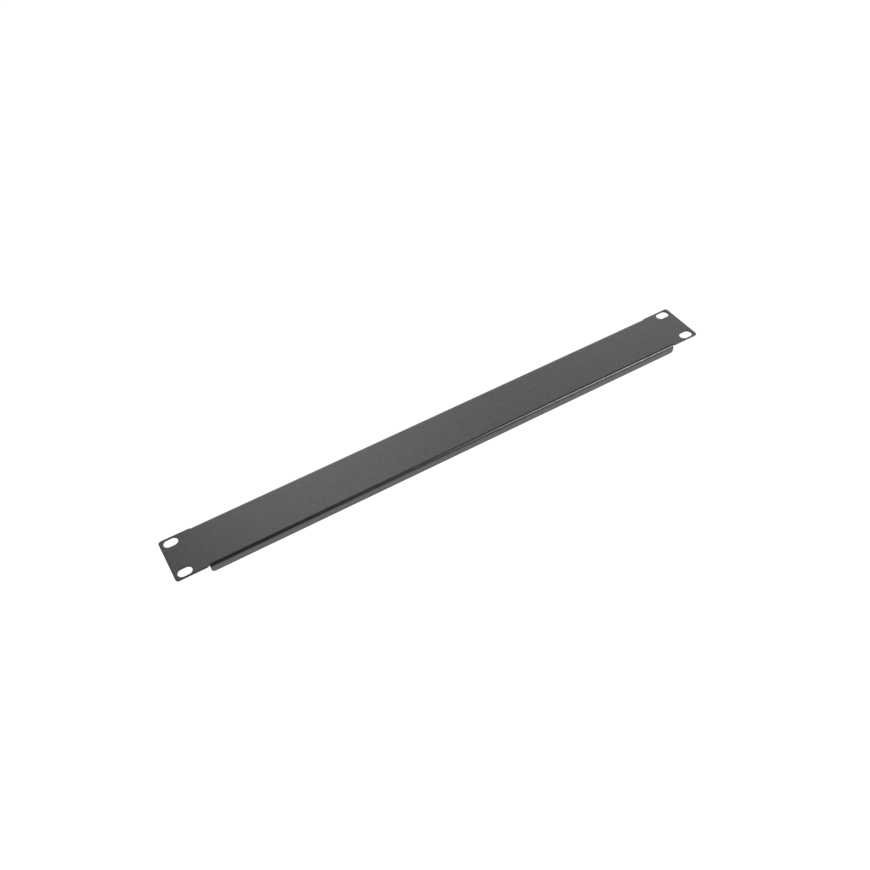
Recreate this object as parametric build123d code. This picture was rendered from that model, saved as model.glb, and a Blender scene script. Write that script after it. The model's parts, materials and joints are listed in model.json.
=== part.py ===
from build123d import *
import os

# Rack blanking panel, one rack unit high. It is one steel sheet, punched flat, folded back along
# both long edges and powder coated.
# X runs along the panel, Y towards its upper edge and Z out of its front. The origin is the centre
# of the four mounting slots, on the rear face of the ears, where the panel meets the rack's rails.
# It lies face up, on the free edges of its two flanges.

# The whole panel, in millimetres
panel_width = 482.6
panel_height = 43.7
sheet = 1.2

# The flanges, whose depth is measured from the front face
flange_depth = 7.8
flange_corner = 3.0
bend_inside = 1.5

# Each end of a bend is freed from the ear beside it by a shallow notch in the ear's edge, and by a
# fine slit that runs on from the notch to the start of the bend
notch_width = 1.6
notch_depth = 0.5
slit_width = 0.15
slit_past_bend = 0.1

# The ears, whose long edges stand in a little from the folds, and their mounting slots, with the
# distance of each slot's centre from the ear's edges
ear_length = 26.3
ear_step = 0.6
ear_corner = 2.5
slot_length = 11.4
slot_width = 7.6
slot_from_end = 8.75
slot_from_side = 5.375

# The coated outer edges are soft, and the ones at the back stay crisp
edge_round = 0.5

bend_outside = bend_inside + sheet
slit_depth = bend_outside + slit_past_bend
flange_length = panel_width - 2 * ear_length
slot_pitch_x = panel_width - 2 * slot_from_end
ear_height = panel_height - 2 * ear_step
slot_pitch_y = ear_height - 2 * slot_from_side
tiny = 0.001


def folded_channel():
    # The stretch between the ears: face, two bends and two flanges, as one section
    outside = Pos(0, sheet - flange_depth / 2) * Rectangle(panel_height, flange_depth)
    outside = fillet(outside.vertices().group_by(Axis.Y)[-1], bend_outside)
    inside = Pos(0, -flange_depth / 2) * Rectangle(panel_height - 2 * sheet, flange_depth)
    inside = fillet(inside.vertices().group_by(Axis.Y)[-1], bend_inside)
    channel = extrude(Plane.YZ * (outside - inside), flange_length / 2, both=True)
    flange_ends = channel.edges().filter_by(Axis.Y).filter_by(lambda edge: edge.length < 2 * sheet)
    lower_corners = flange_ends.group_by(Axis.Z)[0]
    return fillet(lower_corners, flange_corner)


def ear(side):
    # The flat stretch past one end of the flanges: side is -1 on the left and +1 on the right
    ear_x = (panel_width - ear_length) / 2
    blank = Pos(side * ear_x, 0) * Rectangle(ear_length, ear_height)
    outer_corners = blank.vertices().sort_by(Axis.X, reverse=side > 0)[:2]
    blank = fillet(outer_corners, ear_corner)
    for edge in (-1, 1):
        slot = SlotOverall(slot_length, slot_width)
        blank -= Pos(side * slot_pitch_x / 2, edge * slot_pitch_y / 2) * slot
        for width, depth in ((notch_width, ear_step + notch_depth), (slit_width, slit_depth)):
            cut = Rectangle(width, 2 * depth)
            blank -= Pos(side * (flange_length + width) / 2, edge * panel_height / 2) * cut
    return extrude(blank, sheet)


def front_outline(panel):
    # Every edge of the outer skin that a cut has left, and none of the folds. The ear's side of a
    # notch and its slit stays crisp
    skin = panel.faces().filter_by(lambda face: is_outer_skin(face))
    outline = ShapeList()
    for edge in skin.edges():
        shared = [face for face in skin if edge in face.edges()]
        past_flange = abs(edge.center().X) - flange_length / 2
        in_notch = tiny < past_flange < notch_width + tiny
        if len(shared) == 1 and not in_notch:
            outline.append(edge)
    return outline


def is_outer_skin(face):
    middle = face.center()
    outward = face.normal_at(middle)
    on_front = outward.Z > 0.99 and middle.Z > sheet - tiny
    on_flange = abs(middle.Y) > panel_height / 2 - bend_outside and outward.Y * middle.Y > 0
    between_ears = abs(middle.X) < flange_length / 2 - tiny
    return on_front or (on_flange and between_ears and abs(outward.X) < tiny)


panel = folded_channel() + ear(-1) + ear(1)
panel = fillet(front_outline(panel), edge_round)
panel.label = "folded_panel"

os.makedirs("parts", exist_ok=True)
export_step(panel, "parts/folded_panel.step")
print("folded_panel", round(panel.volume, 1), "mm3", panel.bounding_box())
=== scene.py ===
import json
import math

import bmesh
import bpy
from mathutils import Matrix, Quaternion, Vector


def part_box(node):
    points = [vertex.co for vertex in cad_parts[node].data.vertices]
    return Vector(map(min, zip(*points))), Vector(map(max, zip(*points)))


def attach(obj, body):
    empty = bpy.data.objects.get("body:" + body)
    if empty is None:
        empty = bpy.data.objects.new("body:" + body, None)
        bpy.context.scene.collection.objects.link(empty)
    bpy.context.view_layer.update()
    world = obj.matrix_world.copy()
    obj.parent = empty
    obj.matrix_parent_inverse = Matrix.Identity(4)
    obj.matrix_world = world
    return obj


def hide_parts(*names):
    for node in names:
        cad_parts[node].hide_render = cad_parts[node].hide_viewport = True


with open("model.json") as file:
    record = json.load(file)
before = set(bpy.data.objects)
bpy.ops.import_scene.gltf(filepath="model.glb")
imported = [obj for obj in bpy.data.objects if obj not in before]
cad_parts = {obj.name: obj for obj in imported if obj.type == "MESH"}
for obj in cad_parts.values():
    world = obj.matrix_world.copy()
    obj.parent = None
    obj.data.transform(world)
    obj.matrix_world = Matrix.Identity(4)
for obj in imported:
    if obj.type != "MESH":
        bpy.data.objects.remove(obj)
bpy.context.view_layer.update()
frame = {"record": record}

mm = 0.001
tiny = 0.01 * mm

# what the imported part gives: z = 0 is the back of the ears, which lies on the rack's rails
partLow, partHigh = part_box("folded_panel")
front = partHigh.z
halfWidth = partHigh.x
halfHeight = partHigh.y
mounts = {mount["name"]: mount for mount in frame["record"]["mounts"]}
rackSlots = mounts["rack_slots"]["dims"]
slotX = rackSlots["spacing_x_mm"] * mm / 2
slotY = rackSlots["spacing_y_mm"] * mm / 2
slotRadius = rackSlots["hole_r_mm"] * mm
slotHalfRun = rackSlots["slot_length_mm"] * mm / 2 - slotRadius

panel = {
    "name": "foldedPanel",
    "earLength": 26.3 * mm,
    "earCorner": 2.5 * mm,
    "earStep": 0.6 * mm,  # how far the ears' long edges stand in from the folds
    "bendInside": 1.5 * mm,
    "bendSteps": 16,
    "flangeCorner": 3.0 * mm,
    "notchWidth": 1.6 * mm,
    "notchDepth": 0.5 * mm,
    "slitWidth": 0.15 * mm,  # runs on from the notch to the start of the bend
    "slitPastBend": 0.1 * mm,
    "cornerSteps": 10,
    "slotPoints": 64,
    "cutterDepth": 6 * front,
    "frontRound": 0.5 * mm,
    "backShare": 0.2,  # how round the back edges are, as a share of the front ones
    "roundSteps": 4,
    "flatAngle": math.radians(1),  # faces that meet at less than this are one face
    "smoothAngle": math.radians(30),
    "sharpAngle": math.radians(60),  # edges past this are softened
}
bendOutside = panel["bendInside"] + front
bendLine = halfHeight - bendOutside
bendCentre = front - bendOutside
slitLine = bendLine - panel["slitPastBend"]
flangeHalf = halfWidth - panel["earLength"]
slitEnd = flangeHalf + panel["slitWidth"]
notchEnd = flangeHalf + panel["notchWidth"]
earEdge = halfHeight - panel["earStep"]
notchLine = earEdge - panel["notchDepth"]


# selecting by place, in edit mode

def editMesh():
    return bmesh.from_edit_mesh(bpy.context.object.data)


def clearSelection():
    bpy.ops.mesh.select_all(action="DESELECT")


def pickFaces(test):
    clearSelection()
    mesh = editMesh()
    for face in mesh.faces:
        face.select_set(test(face.calc_center_median()))
    bmesh.update_edit_mesh(bpy.context.object.data)


def pickEdges(test):
    clearSelection()
    bpy.ops.mesh.select_mode(type="EDGE")
    mesh = editMesh()
    for edge in mesh.edges:
        edge.select_set(all(test(vert.co) for vert in edge.verts))
    bmesh.update_edit_mesh(bpy.context.object.data)


def pickPoints(test):
    clearSelection()
    bpy.ops.mesh.select_mode(type="VERT")
    mesh = editMesh()
    for vert in mesh.verts:
        vert.select_set(test(vert.co))
    mesh.select_flush_mode()
    bmesh.update_edit_mesh(bpy.context.object.data)


def cutAcross(place, normal):
    bpy.ops.mesh.select_all(action="SELECT")
    bpy.ops.mesh.bisect(plane_co=place, plane_no=normal, threshold=tiny)


def applyModifier(piece, name, kind, **settings):
    modifier = piece.modifiers.new(name, kind)
    for setting, value in settings.items():
        setattr(modifier, setting, value)
    bpy.ops.object.modifier_apply(modifier=name)


# the sheet: punched flat, folded, given its thickness, slotted and softened at its edges

def punchBlank():
    bpy.ops.mesh.primitive_plane_add(size=1)
    bpy.ops.object.mode_set(mode="EDIT")
    bpy.ops.transform.resize(value=(2 * halfWidth, 2 * halfHeight, 1))
    bpy.ops.transform.translate(value=(0, 0, front))
    for side in (-1, 1):
        for x in (flangeHalf, slitEnd, notchEnd):
            cutAcross((side * x, 0, 0), (1, 0, 0))
        for y in (slitLine, bendLine, notchLine, earEdge):
            cutAcross((0, side * y, 0), (0, 1, 0))

    def wasted(centre):
        x, y = abs(centre.x), abs(centre.y)
        inSlit = flangeHalf < x < slitEnd and y > slitLine
        inNotch = flangeHalf < x < notchEnd and y > notchLine
        return (x < flangeHalf and y > bendLine) or inSlit or inNotch or y > earEdge

    pickFaces(wasted)
    bpy.ops.mesh.delete(type="FACE")
    bpy.ops.mesh.select_all(action="SELECT")
    bpy.ops.mesh.dissolve_limited(angle_limit=panel["flatAngle"])
    pickPoints(lambda point: abs(point.x) > halfWidth - tiny and abs(point.y) > earEdge - tiny)
    bpy.ops.mesh.bevel(offset=panel["earCorner"], segments=panel["cornerSteps"], affect="VERTICES")


def foldFlange(side):
    # the free edge turns about the bend's axis and then runs straight down
    pickEdges(lambda point: abs(point.y - side * bendLine) < tiny
              and abs(point.x) < flangeHalf + tiny)
    bpy.ops.mesh.spin(steps=panel["bendSteps"], angle=side * math.pi / 2,
                      center=(0, side * bendLine, bendCentre), axis=(1, 0, 0))
    drop = partLow.z - bendCentre
    bpy.ops.mesh.extrude_region_move(TRANSFORM_OT_translate={"value": (0, 0, drop)})
    pickPoints(lambda point: side * point.y > 0 and point.z < partLow.z + tiny)
    bpy.ops.mesh.bevel(offset=panel["flangeCorner"], segments=panel["cornerSteps"],
                       affect="VERTICES")


def frontUp():
    # an open sheet has no inside, so its front is turned up by hand
    bpy.ops.mesh.select_all(action="SELECT")
    bpy.ops.mesh.normals_make_consistent(inside=False)
    if sum(face.normal.z * face.calc_area() for face in editMesh().faces) < 0:
        bpy.ops.mesh.flip_normals()


def punchSlot(piece, x, y):
    # a round cutter is pulled apart into the slot's shape and taken out of the sheet
    bpy.ops.object.select_all(action="DESELECT")
    bpy.ops.mesh.primitive_cylinder_add(vertices=panel["slotPoints"], radius=slotRadius,
                                        depth=panel["cutterDepth"])
    cutter = bpy.context.object
    bpy.ops.object.mode_set(mode="EDIT")
    halfStep = math.pi / panel["slotPoints"]
    bpy.ops.transform.rotate(value=halfStep, orient_axis="Z", center_override=(0, 0, 0))
    pickPoints(lambda point: point.x > 0)
    bpy.ops.transform.translate(value=(slotHalfRun, 0, 0))
    pickPoints(lambda point: point.x < 0)
    bpy.ops.transform.translate(value=(-slotHalfRun, 0, 0))
    bpy.ops.mesh.select_all(action="SELECT")
    bpy.ops.transform.translate(value=(x, y, 0))
    bpy.ops.object.mode_set(mode="OBJECT")
    bpy.ops.object.select_all(action="DESELECT")
    bpy.context.view_layer.objects.active = piece
    piece.select_set(True)
    applyModifier(piece, "slot", "BOOLEAN", operation="DIFFERENCE", solver="EXACT", object=cutter)
    bpy.data.objects.remove(cutter)


def onOuterSkin(point):
    # the side that faces out: the front, the outside of each bend and the flanges' outer faces
    pastBend = abs(point.y) - bendLine
    if abs(point.x) > flangeHalf + tiny or pastBend < tiny:
        return point.z > front - tiny
    if point.z < bendCentre:
        return abs(point.y) > halfHeight - tiny
    return math.hypot(pastBend, point.z - bendCentre) > bendOutside - tiny


def onInnerSkin(point):
    return not onOuterSkin(point)


def besideNotch(edge):
    # the ear's side of a notch and its slit stays crisp
    middle = (edge.verts[0].co + edge.verts[1].co) / 2
    return flangeHalf + tiny < abs(middle.x) < notchEnd + tiny


def softenEdges(piece):
    # punching and the coating round the front edges, and leave the back ones crisper
    bpy.ops.object.mode_set(mode="EDIT")
    bpy.ops.mesh.select_mode(type="EDGE")
    for onSide, weight in ((onOuterSkin, 1), (onInnerSkin, panel["backShare"])):
        clearSelection()
        for edge in editMesh().edges:
            sharp = edge.calc_face_angle(0) > panel["sharpAngle"] and not besideNotch(edge)
            edge.select_set(sharp and all(onSide(vert.co) for vert in edge.verts))
        bmesh.update_edit_mesh(piece.data)
        bpy.ops.transform.edge_bevelweight(value=weight)
    bpy.ops.object.mode_set(mode="OBJECT")
    applyModifier(piece, "softEdges", "BEVEL", limit_method="WEIGHT", width=panel["frontRound"],
                  segments=panel["roundSteps"], use_clamp_overlap=False)


def makePanel():
    bpy.ops.object.select_all(action="DESELECT")
    punchBlank()
    foldFlange(-1)
    foldFlange(1)
    for side in (-1, 1):
        cutAcross((side * slotX, 0, 0), (1, 0, 0))
        cutAcross((0, side * slotY, 0), (0, 1, 0))
    frontUp()
    bpy.ops.object.mode_set(mode="OBJECT")
    piece = bpy.context.object
    piece.name = panel["name"]
    print("blank folded:", len(piece.data.polygons), "faces")
    applyModifier(piece, "sheet", "SOLIDIFY", thickness=front, offset=-1, use_even_offset=True,
                  use_quality_normals=True)
    for x in (-slotX, slotX):
        for y in (-slotY, slotY):
            punchSlot(piece, x, y)
    print("slots punched:", len(piece.data.polygons), "faces")
    softenEdges(piece)
    bpy.ops.object.shade_smooth_by_angle(angle=panel["smoothAngle"])
    applyModifier(piece, "flatFaces", "WEIGHTED_NORMAL", mode="FACE_AREA", keep_sharp=True)
    print("edges softened:", len(piece.data.polygons), "faces")
    return piece


# powder-coated steel

def linear(hexColour):
    parts = [int(hexColour[place:place + 2], 16) / 255 for place in (1, 3, 5)]
    light = [part / 12.92 if part <= 0.04045 else ((part + 0.055) / 1.055) ** 2.4
             for part in parts]
    return light + [1]


def addNode(tree, kind, settings=None, links=None):
    node = tree.nodes.new(kind)
    for name, value in (settings or {}).items():
        if name in node.inputs:
            node.inputs[name].default_value = value
        else:
            setattr(node, name, value)
    for name, socket in (links or {}).items():
        tree.links.new(socket, node.inputs[name])
    return node


def newMaterial(name):
    material = bpy.data.materials.new(name)
    material.use_nodes = True
    material.node_tree.nodes.clear()
    return material, material.node_tree


coat = {
    "colour": "#232325",
    "paleSpecks": "#3c3c3e",
    "speck": 2.9,  # mm across a pale speck, coarser than the real ones, so that they show
    "grain": 0.6,  # mm across one grain of the fine texture
    "peel": 5,  # mm across one swell of the coat
    "roughness": 0.28,
    "refraction": 1.85,  # above the resin's own 1.5, to match how strongly the skin shines
    "grainDepth": 0.0008 * mm,
    "peelDepth": 0.002 * mm,
}


def powderCoatedSteel():
    # dark grey polyester powder, sprayed on and baked: a satin skin with a fine pebbled grain
    material, tree = newMaterial("powderCoatedSteel")
    place = addNode(tree, "ShaderNodeTexCoord").outputs["Object"]
    specks, grain, peel = [
        addNode(tree, "ShaderNodeTexNoise", {"Scale": 1 / (coat[name] * mm), "Detail": detail},
                {"Vector": place})
        for name, detail in (("speck", 0), ("grain", 2), ("peel", 3))]
    colour = addNode(tree, "ShaderNodeMix", {"data_type": "RGBA"})
    colour.inputs[6].default_value = linear(coat["colour"])
    colour.inputs[7].default_value = linear(coat["paleSpecks"])
    tree.links.new(specks.outputs["Fac"], colour.inputs[0])
    peelBump = addNode(tree, "ShaderNodeBump", {"Distance": coat["peelDepth"], "Strength": 1},
                       {"Height": peel.outputs["Fac"]})
    grainBump = addNode(tree, "ShaderNodeBump", {"Distance": coat["grainDepth"], "Strength": 1},
                        {"Height": grain.outputs["Fac"], "Normal": peelBump.outputs["Normal"]})
    surface = addNode(tree, "ShaderNodeBsdfPrincipled",
                      {"Roughness": coat["roughness"], "IOR": coat["refraction"]},
                      {"Base Color": colour.outputs[2], "Normal": grainBump.outputs["Normal"]})
    addNode(tree, "ShaderNodeOutputMaterial", links={"Surface": surface.outputs["BSDF"]})
    return material


# the studio: a plain pale floor, a white sky, a dark card over the panel and a strip lamp

studio = {
    "floorColour": "#f2f2f2",
    "floorSize": 6,
    "floorShare": 0.88,  # how much of the floor as seen is plain white, not its light and shadow
    "floorWhite": 1.16,
    "skyLight": 2.0,  # the card hides about half of the sky
    # the sky's brightness in a reflection, from left to right along X and backwards along Y
    "coveLeft": {"From Min": -0.1, "From Max": 0.13, "To Min": 0.05, "To Max": 1.08},
    "coveMiddle": {"From Min": 0.2, "From Max": 0.36, "To Min": 1.24, "To Max": 0.76},
    "coveRight": {"From Min": 0.4, "From Max": 0.56, "To Min": 1, "To Max": 1.75},
    "coveBackwards": {"From Min": 0.5, "From Max": 0.76, "To Min": 0.45, "To Max": 1.4},
    "cardColour": "#404040",
    "cardPlace": -1.6,
    "cardTop": 2.0,
    "cardReach": 0.68,  # where its top ends, past the panel
    "cardGap": 0.02,  # from the ears' backs up to its foot
    "cardWidth": 5,
}


def seenDirectly(tree):
    # 1 where the camera, a reflection or a glass sees it, and 0 where it only lights others
    path = addNode(tree, "ShaderNodeLightPath")
    seen = path.outputs["Is Camera Ray"]
    for ray in ("Is Glossy Ray", "Is Transmission Ray"):
        either = addNode(tree, "ShaderNodeMath", {"operation": "MAXIMUM"})
        tree.links.new(seen, either.inputs[0])
        tree.links.new(path.outputs[ray], either.inputs[1])
        seen = either.outputs[0]
    return seen


def makeFloor():
    bpy.ops.object.select_all(action="DESELECT")
    bpy.ops.mesh.primitive_plane_add(size=studio["floorSize"], location=(0, 0, partLow.z))
    floor = bpy.context.object
    floor.name = "studioFloor"
    material, tree = newMaterial("paleStudioFloor")
    share = addNode(tree, "ShaderNodeMath", {"operation": "MULTIPLY"})
    tree.links.new(seenDirectly(tree), share.inputs[0])
    share.inputs[1].default_value = studio["floorShare"]
    paint = addNode(tree, "ShaderNodeBsdfDiffuse", {"Color": linear(studio["floorColour"])})
    white = addNode(tree, "ShaderNodeEmission", {"Strength": studio["floorWhite"]})
    surface = addNode(tree, "ShaderNodeMixShader")
    for place, socket in enumerate((share.outputs[0], paint.outputs[0], white.outputs[0])):
        tree.links.new(socket, surface.inputs[place])
    addNode(tree, "ShaderNodeOutputMaterial", links={"Surface": surface.outputs[0]})
    floor.data.materials.append(material)


def makeSky():
    # plain white to the camera, and in the panel a wide pale cove that is dark at the far left,
    # dips in the middle and is brightest at the far right and low down at the back
    world = bpy.data.worlds.new("studioSky")
    bpy.context.scene.world = world
    world.use_nodes = True
    tree = world.node_tree
    tree.nodes.clear()
    direction = addNode(tree, "ShaderNodeTexCoord").outputs["Generated"]
    parts = addNode(tree, "ShaderNodeSeparateXYZ", links={"Vector": direction})
    backwards = addNode(tree, "ShaderNodeMapRange", studio["coveBackwards"],
                        {"Value": parts.outputs["Y"]})
    cove = backwards.outputs[0]
    for name in ("coveLeft", "coveMiddle", "coveRight"):
        sideways = addNode(tree, "ShaderNodeMapRange", studio[name], {"Value": parts.outputs["X"]})
        both = addNode(tree, "ShaderNodeMath", {"operation": "MULTIPLY"})
        tree.links.new(cove, both.inputs[0])
        tree.links.new(sideways.outputs[0], both.inputs[1])
        cove = both.outputs[0]
    plainWhite = addNode(tree, "ShaderNodeMix", {"data_type": "FLOAT"})
    path = addNode(tree, "ShaderNodeLightPath")
    tree.links.new(path.outputs["Is Camera Ray"], plainWhite.inputs[0])
    tree.links.new(cove, plainWhite.inputs[2])
    plainWhite.inputs[3].default_value = 1
    level = addNode(tree, "ShaderNodeMix", {"data_type": "FLOAT"})
    level.inputs[2].default_value = studio["skyLight"]
    level.inputs[3].default_value = 1
    tree.links.new(seenDirectly(tree), level.inputs[0])
    strength = addNode(tree, "ShaderNodeMath", {"operation": "MULTIPLY"})
    tree.links.new(level.outputs[0], strength.inputs[0])
    tree.links.new(plainWhite.outputs[0], strength.inputs[1])
    sky = addNode(tree, "ShaderNodeBackground", {"Color": (1, 1, 1, 1)},
                  {"Strength": strength.outputs[0]})
    addNode(tree, "ShaderNodeOutputWorld", links={"Surface": sky.outputs[0]})


def makeCard():
    # it stands on the camera's side and its top reaches over the panel, and the camera alone
    # doesn't see it
    bpy.ops.object.select_all(action="DESELECT")
    bpy.ops.mesh.primitive_plane_add(size=1)
    card = bpy.context.object
    card.name = "darkCard"
    bpy.ops.object.mode_set(mode="EDIT")
    length = studio["cardReach"] - studio["cardPlace"]
    bpy.ops.transform.resize(value=(studio["cardWidth"], length, 1))
    bpy.ops.transform.translate(value=(0, studio["cardPlace"] + length / 2, studio["cardTop"]))
    pickEdges(lambda point: point.y < studio["cardPlace"] + tiny)
    drop = studio["cardGap"] - studio["cardTop"]
    bpy.ops.mesh.extrude_region_move(TRANSFORM_OT_translate={"value": (0, 0, drop)})
    bpy.ops.object.mode_set(mode="OBJECT")
    material, tree = newMaterial("greyCard")
    paint = addNode(tree, "ShaderNodeBsdfDiffuse", {"Color": linear(studio["cardColour"])})
    addNode(tree, "ShaderNodeOutputMaterial", links={"Surface": paint.outputs[0]})
    card.data.materials.append(material)
    card.visible_camera = False


stripLamp = {
    "place": (0.76, -0.78, 0.86),
    "aim": (0.13, 0, 0),
    "along": (-0.5, 0, 0.86),  # it leans to the left, so that its line fades along the fold
    "length": 0.76,
    "width": 0.17,
    "power": 7.1,
}


def makeStripLamp():
    bpy.ops.object.light_add(type="AREA", location=stripLamp["place"])
    lamp = bpy.context.object
    lamp.name = "rightStripLight"
    back = (Vector(stripLamp["place"]) - Vector(stripLamp["aim"])).normalized()
    across = back.cross(Vector(stripLamp["along"])).normalized()
    lamp.rotation_euler = Matrix((across.cross(back), across, back)).transposed().to_euler()
    lamp.data.shape = "RECTANGLE"
    lamp.data.size = stripLamp["length"]
    lamp.data.size_y = stripLamp["width"]
    lamp.data.energy = stripLamp["power"]


camera = {
    "place": (-248.58 * mm, -495.95 * mm, 577.27 * mm),
    "aim": (-10.8 * mm, 1.15 * mm, 1.2 * mm),
    "roll": -5.982,  # degrees, as the photograph leans
    "lens": 40.681,
    "sensor": 36,
    "nearest": 1 * mm,
}


def makeCamera():
    place, aim = Vector(camera["place"]), Vector(camera["aim"])
    bpy.ops.object.camera_add(location=place)
    view = bpy.context.object
    level = (aim - place).to_track_quat("-Z", "Y")
    view.rotation_mode = "QUATERNION"
    view.rotation_quaternion = level @ Quaternion((0, 0, 1), math.radians(camera["roll"]))
    view.data.lens = camera["lens"]
    view.data.sensor_width = camera["sensor"]
    view.data.sensor_fit = "HORIZONTAL"
    view.data.clip_start = camera["nearest"]
    bpy.context.scene.camera = view


foldedPanel = makePanel()
foldedPanel.data.materials.append(powderCoatedSteel())
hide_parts("folded_panel")
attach(foldedPanel, "root")
print("panel in place")

makeFloor()
makeSky()
makeCard()
makeStripLamp()
makeCamera()
bpy.context.scene.view_settings.view_transform = "Standard"
print("studio ready")
